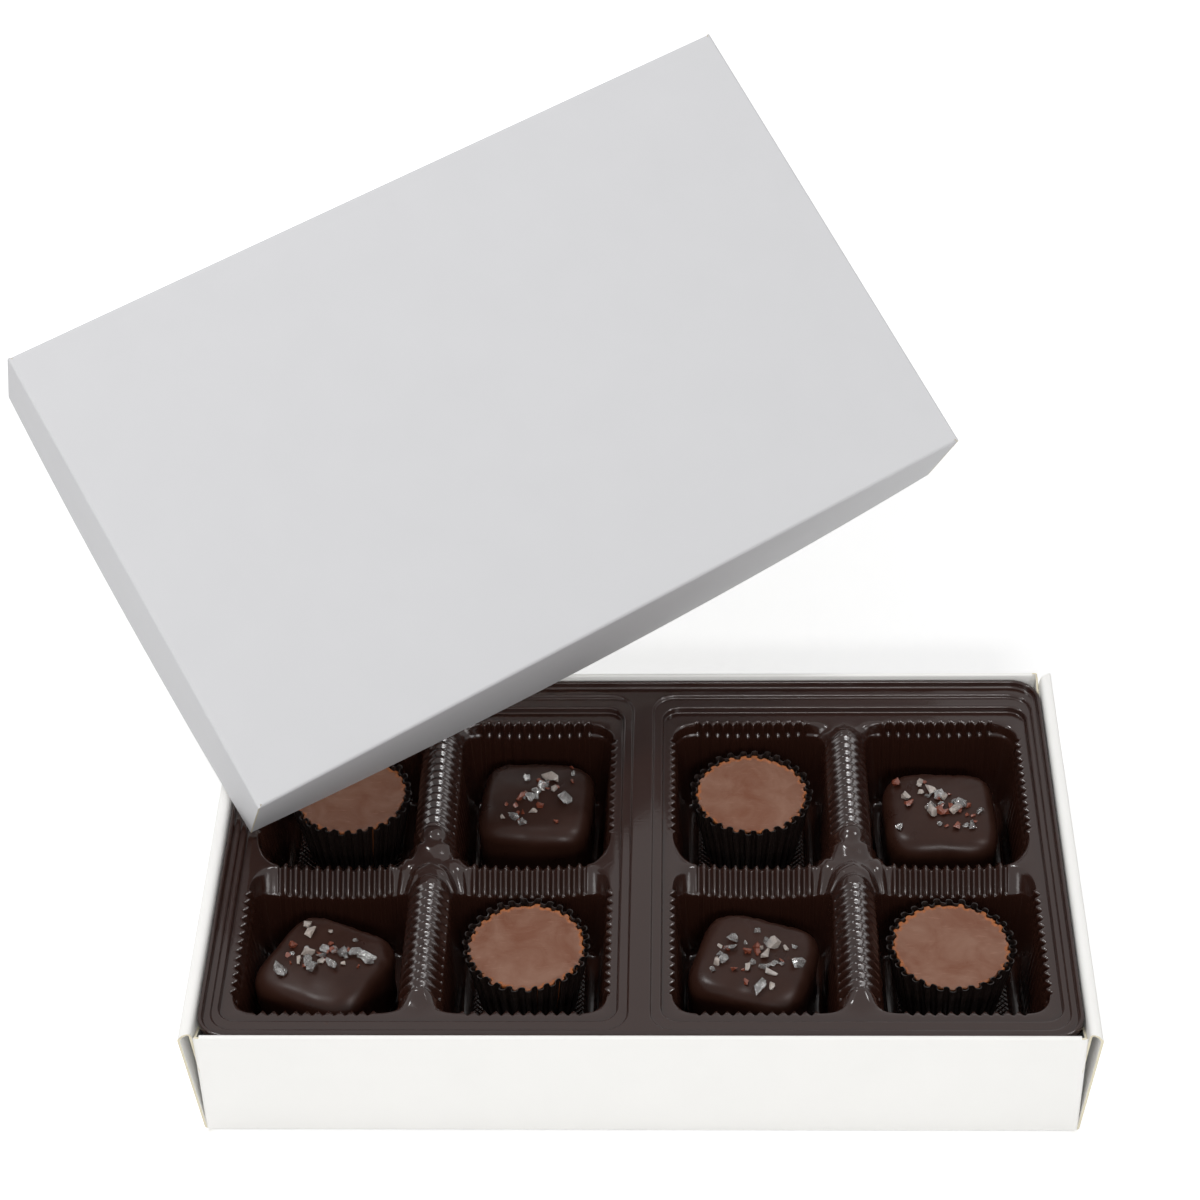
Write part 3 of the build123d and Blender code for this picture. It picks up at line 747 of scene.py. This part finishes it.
finish_material(tree, {
    "Base Color": tinted(tree, margin, bloom, linear("#9C5A2E")),
    "Roughness": 0.5, "IOR": 1.46, "Specular IOR Level": 0.35,
    "Normal": relief(tree, streak, 0.15, 0.08, relief(tree, crumb, 0.25, 0.10))})


def soft_filling(name, colour):
    """A soft sugar filling: matt and pale, with grains about 0.6 mm across."""
    return mottled(name, colour, 0.75, (0.6, 3.0), (0.6, 3.0), (0.3, 0.1), {"Roughness": 0.55})


nut_filling = soft_filling("ground_nut_filling", "#B58A58")


def ring_piece(name, rings, material, sharp=60):
    """A closed piece from rings of equally many points, capped at both ends."""
    points = [point for ring in rings for point in ring]
    count = len(rings[0])
    faces = [tuple(range(count))[::-1], *ring_quads(0, len(rings), count),
             tuple(range(len(points) - count, len(points)))]
    return piece_of(name, points, faces, [material], sharp=sharp)


def cup_pieces(number):
    """One cup: its paper, the chocolate poured into it and the filling sealed inside."""
    draw = random.Random(100 + number)
    low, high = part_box(f"cup_{number}_paper")
    middle = ((low[0] + high[0]) / 2 / MM, (low[1] + high[1]) / 2 / MM)
    swell = [draw.uniform(0.75, 1.02) for flute in range(FLUTES)]
    grip = [draw.uniform(0.15, 1.0) for flute in range(FLUTES)]
    lean = [draw.uniform(-0.14, 0.14) for flute in range(FLUTES)]
    rise = [draw.uniform(-0.55, 0.0) for flute in range(FLUTES)]
    turn_by = draw.uniform(0, 1)

    def fluted_loop(height, inward, depth, spread, frilled=False):
        """The fluted wall at a height: rounded loops outward, narrow valleys inward."""
        share = height / CUP_HEIGHT
        valley = CUP_BASE + (CUP_TOP - CUP_BASE) * share - FLUTE_DEPTH
        frill = smooth((height - 14) / 3.8) if frilled else 0
        loop = []
        for step in range(FLUTES * FLUTE_SAMPLES):
            at = step / FLUTE_SAMPLES
            flute = int(at + 0.5) % FLUTES
            phase = 2 * math.pi * at
            swollen = 0.5 + 0.5 * math.cos(phase)
            radius = valley + depth * spread[flute] * (0.7 + 0.3 * share) * swollen - inward
            angle = (phase + 0.55 * math.sin(2 * phase)) / FLUTES
            angle += (lean[flute] * swollen * (0.4 + 0.6 * share)
                      + turn_by) * 2 * math.pi / FLUTES
            x, y = radius * math.cos(angle), radius * math.sin(angle)
            wobble = 0.16 * noise.noise(Vector((x / 2.2, y / 2.2, height / 3 + number * 7)))
            x, y = x * (1 + wobble / radius), y * (1 + wobble / radius)
            loop.append((middle[0] + x, middle[1] + y, SEAT + height + frill * rise[flute]))
        return loop

    heights = (0.25, 2.5, 6.0, 9.5, 13.0, 15.4, 16.8, 17.8)
    sheet = [fluted_loop(0.0, 0.25, 0.8, swell)]
    sheet += [fluted_loop(height, 0, FLUTE_DEPTH, swell, True) for height in heights]
    sheet += [fluted_loop(max(height, 0.3), PAPER, FLUTE_DEPTH, swell, True)
              for height in reversed(heights)]
    paper = ring_piece(f"cup_{number}_fluted_paper", sheet, glassine)

    rings = [fluted_loop(height, 0.22, SCALLOP, grip)
             for height in (0.5, 2.5, 6.0, 9.5, 13.0, 15.4, CHOCOLATE_TOP - 0.25)]
    edge = fluted_loop(CHOCOLATE_TOP, 0.24, SCALLOP, grip)
    weights = [1.0] * (len(rings) * len(edge))
    calm = CUP_TOP - FLUTE_DEPTH + 0.4
    for inset in (0.0, 0.12, 0.35, 0.7, 1.1, 1.7, 2.5, 3.6, 5.0, 6.8, 8.6, 10.2, 11.2):
        even = smooth(inset / 2.6)
        lip = -0.12 if inset == 0 else 0.18 * (1 - smooth(inset))
        top = SEAT + CHOCOLATE_TOP - 0.15 + lip + 0.1 * smooth(inset / 8)
        ring = []
        for step, (x, y, z) in enumerate(edge):
            x, y = x - middle[0], y - middle[1]
            cut = 1 - inset / math.hypot(x, y)
            angle = 2 * math.pi * (step / len(edge) + turn_by / FLUTES)
            x = x * cut + ((calm - inset) * math.cos(angle) - x * cut) * even
            y = y * cut + ((calm - inset) * math.sin(angle) - y * cut) * even
            ripple = 0.22 * noise.noise(Vector((x / 6, y / 6, number * 3.0)))
            ripple += 0.07 * noise.noise(Vector((x / 1.6, y / 1.6, number * 5.0)))
            crumbs = 0.34 * noise.noise(Vector((x / 0.7, y / 0.7, number * 9.0)))
            ring.append((middle[0] + x, middle[1] + y,
                         top + ripple + crumbs * (1 - smooth(inset / 1.4))))
        rings.append(ring)
        # The margin crumbles unevenly, and its paler orange is weighted more towards the back.
        for x, y, z in ring:
            patch = 0.62 + 0.75 * noise.noise(Vector((x / 3.5, y / 3.5, number * 4.0)))
            patch += 0.3 * smooth((y - middle[1]) / 10)
            weights.append(min(1, max(0, patch)) * (1 - smooth(inset / 2.0)))
    chocolate = ring_piece(f"cup_{number}_poured_chocolate", rings, milk_chocolate, sharp=80)
    values = chocolate.data.attributes.new("crumbly_margin", "FLOAT", "POINT")
    values.data.foreach_set("value", weights)

    rings = []
    for share, inset in ((0, 1.0), (0.08, 0.15), (0.5, 0), (0.9, 0.1), (1, 1.1)):
        radius = FILLING_BASE + FILLING_FLARE * share - inset
        rings.append([(middle[0] + radius * math.cos(step / 48 * 2 * math.pi),
                       middle[1] + radius * math.sin(step / 48 * 2 * math.pi),
                       SEAT + FILLING_FOOT + FILLING_HEIGHT * share) for step in range(48)])
    filling = ring_piece(f"cup_{number}_nut_filling", rings, nut_filling)
    for made, node, slot in ((paper, "paper", "cup_paper"),
                             (chocolate, "chocolate", "milk_chocolate"),
                             (filling, "filling", "soft_filling")):
        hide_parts(f"cup_{number}_{node}")
        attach(made, f"cup_{number}")


for number in range(1, 5):
    cup_pieces(number)


# Coated caramels. Four cut squares of caramel drawn through a curtain of dark chocolate,
# which rounds their edges, leaves a foot where it runs down and small ripples where it was
# blown off, and grips the coarse salt that is scattered on while it is wet.
CARAMEL_HALF, CARAMEL_HEIGHT, COAT = 12.6, 17.2, 2.2
CARAMEL_TURNS = (-25, -4, -17, 1)
AROUND = 128

dark_coat, tree = start_material("enrobed_dark_chocolate")
# Dull bloom in clouds about 7 mm across, pin-prick pits about 0.35 mm apart.
cloud = clumps(tree, 7, 4.0)
finish_material(tree, {
    "Base Color": tinted(tree, cloud, linear("#28150F"), linear("#382119")),
    "Roughness": stretched(tree, cloud, 0.3, 0.7, 0.26, 0.4),
    "IOR": 1.47, "Specular IOR Level": 0.19,
    "Normal": relief(tree, clumps(tree, 0.35, 2.0), 0.18, 0.05)})
soft_caramel = soft_filling("boiled_sugar_caramel", "#A8642C")
# Rock salt: hard crystals, clouded inside by cracks about 0.5 mm apart.
salt_kinds = [mottled(name, colour, 0.55, (0.5, 4.0), (0.5, 4.0), (0.5, 0.15), {
                  "Transmission Weight": clearness, "Roughness": roughness, "IOR": 1.54})
              for name, colour, clearness, roughness in (
                  ("clear_rock_salt", "#F4F2F0", 0.85, 0.1),
                  ("cloudy_rock_salt", "#F1E4DA", 0.55, 0.22),
                  ("red_clay_rock_salt", "#A4573F", 0.4, 0.25))]


def pillow_rings(half, height, foot, top, crown, square):
    """Rings of a crowned, rounded block that stands on z = 0, as (x, y, z) at its middle."""
    shoulder = height - crown - top
    levels = [(foot * 1.3, 0.0), (foot * 0.45, foot * 0.35), (foot * 0.1, foot * 0.9),
              (0.0, foot * 1.6), (0.25, shoulder * 0.4), (0.15, shoulder * 0.75)]
    for step in range(9):
        turn = step / 8 * math.radians(82)
        levels.append((top * (1 - math.cos(turn)), shoulder + top * math.sin(turn)))
    rings = []
    for inset, z in levels:
        blend = smooth(inset / (top * 1.2)) if z > shoulder else 0
        power = square - 0.9 * blend
        ring = []
        for step in range(AROUND):
            angle = 2 * math.pi * step / AROUND
            c, s = math.cos(angle), math.sin(angle)
            reach = (half - inset) / (abs(c) ** power + abs(s) ** power) ** (1 / power)
            ring.append((reach * c, reach * s, z))
        rings.append(ring)
    last = rings[-1]
    slope_end = levels[-1][1]
    for share in (0.93, 0.84, 0.72, 0.58, 0.42, 0.26, 0.1):
        ring = []
        for step, (x, y, z) in enumerate(last):
            angle = 2 * math.pi * step / AROUND
            radius = math.hypot(x, y)
            even = radius + (half * 0.62 - radius) * (1 - share)
            ring.append((even * share * math.cos(angle), even * share * math.sin(angle),
                         slope_end + (height - slope_end) * (1 - share ** 2.2)))
        rings.append(ring)
    return rings


# Where the salt fell on each caramel, across its top: the two ends of a streak, how wide
# it spread and how many crystals lie in it, with a last few scattered anywhere.
SALT_STREAKS = (
    ((-7, -3), (7, 4), 2.4, 30),
    ((-6, -5), (6, 5), 3.2, 34),
    ((-8, -4), (7, 2), 2.5, 32),
    ((-5, 5), (6, -5), 3.4, 32),
)
SCATTERED = 6


def caramel_pieces(number):
    """One caramel: its centre, the coat around it and the salt that lies on the coat."""
    draw = random.Random(200 + number)
    low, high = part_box(f"caramel_{number}_coating")
    middle = Vector(((low[0] + high[0]) / 2 / MM, (low[1] + high[1]) / 2 / MM, SEAT))
    turned = Matrix.Rotation(math.radians(CARAMEL_TURNS[number - 1]), 3, "Z")

    def set_down(rings, rough):
        """Rings turned and set in the pocket; rough ones ripple as the coat does."""
        placed = []
        for ring in rings:
            line = []
            for x, y, z in ring:
                point = Vector((x, y, z))
                out = Vector((x, y, (z - CARAMEL_HEIGHT / 2) * 1.2)).normalized()
                if rough:
                    seed = Vector((number * 11.0, 0, 0))
                    swell = 0.42 * noise.noise(point / 9 + seed)
                    swell += 0.10 * noise.noise(point / 3 + seed)
                    edge = math.exp(-((z - 15.2) / 1.3) ** 2) * smooth((y - 2) / 5)
                    swell += 0.32 * edge * noise.noise(point / 1.3 + seed)
                    foot = math.exp(-((z - 1.6) / 1.8) ** 2) * smooth((-y - 1) / 6)
                    swell += 0.5 * foot * noise.noise(point / 3.5 - seed)
                    point += out * (min(swell, 0.3) if z >= 0.2 else 0)
                line.append(tuple(middle + turned @ point))
            placed.append(line)
        return placed

    coat_rings = set_down(pillow_rings(CARAMEL_HALF, CARAMEL_HEIGHT, 1.3, 3.8, 0.9, 4.3), True)
    coat = ring_piece(f"caramel_{number}_dark_coat", coat_rings, dark_coat, sharp=80)
    centre_rings = pillow_rings(CARAMEL_HALF - COAT, CARAMEL_HEIGHT - 4.6, 0.6, 2.4, 0.4, 5.0)
    centre_rings = [[(x, y, z + COAT) for x, y, z in ring] for ring in centre_rings]
    centre = ring_piece(f"caramel_{number}_soft_centre", set_down(centre_rings, False),
                        soft_caramel, sharp=80)

    ground = BVHTree.FromPolygons([vertex.co for vertex in coat.data.vertices],
                                  [tuple(face.vertices) for face in coat.data.polygons])
    start, end, spread, count = SALT_STREAKS[number - 1]
    shapes = bmesh.new()
    for index in range(count + SCATTERED):
        if index < count:
            share = (index + draw.random()) / count
            spot = Vector(start).lerp(Vector(end), share)
            spot += Vector((draw.gauss(0, spread * 0.45), draw.gauss(0, spread)))
        else:
            spot = Vector((draw.uniform(-9.5, 9.5), draw.uniform(-9.5, 9.5)))
        size = draw.choice((0.65, 0.8, 0.95, 1.15, 1.4, 1.7))
        stretch = Vector((draw.uniform(0.8, 1.45), draw.uniform(0.7, 1.0),
                          draw.uniform(0.55, 0.85)))
        kind = draw.choice((0, 0, 0, 1, 2, 2, 2))
        size *= 0.75 if kind == 2 else 1
        spin = Matrix.Rotation(draw.uniform(0, math.pi), 3, "Z")
        tip = Matrix.Rotation(draw.uniform(-0.35, 0.35), 3, "X")
        corners = []
        for corner in range(11):
            away = Vector((draw.gauss(0, 1), draw.gauss(0, 1), draw.gauss(0, 1))).normalized()
            blocky = max(abs(away.x), abs(away.y), abs(away.z))
            corners.append(away * size * (0.82 + 0.18 / blocky))
        spot = middle + turned @ Vector((spot.x, spot.y, 0))
        hit, normal, *rest = ground.ray_cast(Vector((spot.x, spot.y, 60)) * MM,
                                             Vector((0, 0, -1)))
        if hit is None or normal.z < 0.55:
            continue
        upright = Vector((0, 0, 1)).rotation_difference(normal).to_matrix()
        made = []
        for corner in corners:
            shaped = Vector(one * other for one, other in zip(corner, stretch))
            shaped = upright @ (spin @ (tip @ shaped))
            made.append(shapes.verts.new(hit + (shaped + normal * size * 0.42) * MM))
        hull = bmesh.ops.convex_hull(shapes, input=made)
        for face in hull["geom"]:
            if isinstance(face, bmesh.types.BMFace):
                face.material_index = kind
        bmesh.ops.delete(shapes, geom=hull["geom_interior"], context="VERTS")
    mesh = bpy.data.meshes.new(f"caramel_{number}_rock_salt")
    shapes.to_mesh(mesh)
    shapes.free()
    for kind in salt_kinds:
        mesh.materials.append(kind)
    salt = add_object(mesh.name, mesh)
    for made, node, slot in ((coat, "coating", "dark_chocolate"),
                             (centre, "centre", "caramel"), (salt, "salt", "sea_salt")):
        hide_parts(f"caramel_{number}_{node}")
        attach(made, f"caramel_{number}")


for number in range(1, 5):
    caramel_pieces(number)


# Lid carton. A second blank of the same board, coated pale grey outside: one sheet makes
# the face and the long walls with their folded-in hems, and the end walls roll over the
# corner tabs. Taken off, it lies tilted over the back left of the box; its walls bow out.
LID_HALF_LENGTH, LID_HALF_WIDTH, LID_DEPTH = 91.3, 56.8, 25.4
LID_LONG_BOW, LID_END_BOW = 2.4, 1.0
grey_board = board_coat("clay_coated_grey_board", "#D4D4D6")
grey_coats = (grey_board, white_board, cut_board)
lid_stand = (Matrix.Translation((-86.05, 7.644, 24.4))
             @ Matrix.Rotation(math.radians(33.8), 4, "X")
             @ Matrix.Rotation(math.radians(12.0), 4, "Y")
             @ Matrix.Rotation(math.radians(30.8), 4, "Z")
             @ Matrix.Translation((LID_HALF_LENGTH, LID_HALF_WIDTH, LID_DEPTH)))


def stand_lid(x, y, z):
    """Takes a point of the flat-lying lid, bows the walls towards the rim and tilts it."""
    depth = min(1, max(0, -z / LID_DEPTH))
    if abs(y) > LID_HALF_WIDTH - 2:
        y += math.copysign(LID_LONG_BOW * depth * (1 - (x / LID_HALF_LENGTH) ** 2), y)
    if abs(x) > LID_HALF_LENGTH - 3:
        x += math.copysign(LID_END_BOW * depth * (1 - min(1, abs(y) / LID_HALF_WIDTH) ** 2), x)
    return lid_stand @ Vector((x, y, z))


lid_wall = LID_HALF_WIDTH - BOARD / 2
lid_hem = lid_wall - HEM_FOLD
lid_rim = -LID_DEPTH + BOARD / 2
lid_pieces = [board_piece(
    "lid_face_and_long_walls",
    strip_line(((-lid_hem, lid_rim + HEM_DEPTH), (-lid_hem, lid_rim), (-lid_wall, lid_rim),
                (-lid_wall, -9.0), (-lid_wall, -BOARD / 2)), (1.0, 0.6, 0.6, 1.0)),
    strip_reach(LID_HALF_LENGTH, BOARD / 2 + 0.1, lid_wall, lid_rim),
    lambda across, run, height: stand_lid(run, across, height), grey_coats, runs=32)]
lid_outer = LID_HALF_LENGTH - BOARD / 2
lid_inner = lid_outer - 1.5
lid_end_line = bent_line(
    ((LID_HALF_LENGTH - 1.0, -BOARD / 2), (lid_outer, -BOARD / 2), (lid_outer, lid_rim),
     (lid_inner, lid_rim), (lid_inner, -9.0), (lid_inner, -2 * BOARD)),
    (0.5, 0.7, 0.7, 1.0))


def lid_end_reach(share, point):
    """Half width of a lid's end wall, with its tucked-in side cut shorter."""
    if point.x > lid_outer - 0.4:
        half = LID_HALF_WIDTH - 0.02
    elif point.y > -1.0 and share < 0.5:
        half = LID_HALF_WIDTH - 0.6
    else:
        half = LID_HALF_WIDTH - 1.6
    return -half, half


lid_tab_line = bent_line(((LID_HALF_LENGTH - 2.0, lid_wall - 0.55),
                          (lid_outer - 0.75, lid_wall - 0.55),
                          (lid_outer - 0.75, LID_HALF_WIDTH - TAB_LENGTH)), (0.6,))


def lid_tab_reach(share, point):
    """A lid's corner tab stands nearly full depth at its fold, less towards its tip."""
    inward = lid_wall - point.y
    drop = TAB_DROP if inward < TAB_LENGTH / 4 else TAB_TIP_DROP
    return -LID_DEPTH + drop, -2 * BOARD


lid_pieces += end_walls("lid", lid_end_line, lid_end_reach, stand_lid, grey_coats)
lid_pieces += corner_tabs("lid", lid_tab_line, lid_tab_reach, stand_lid, grey_coats)
for made in lid_pieces:
    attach(made, "lid")
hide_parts("lid_carton")
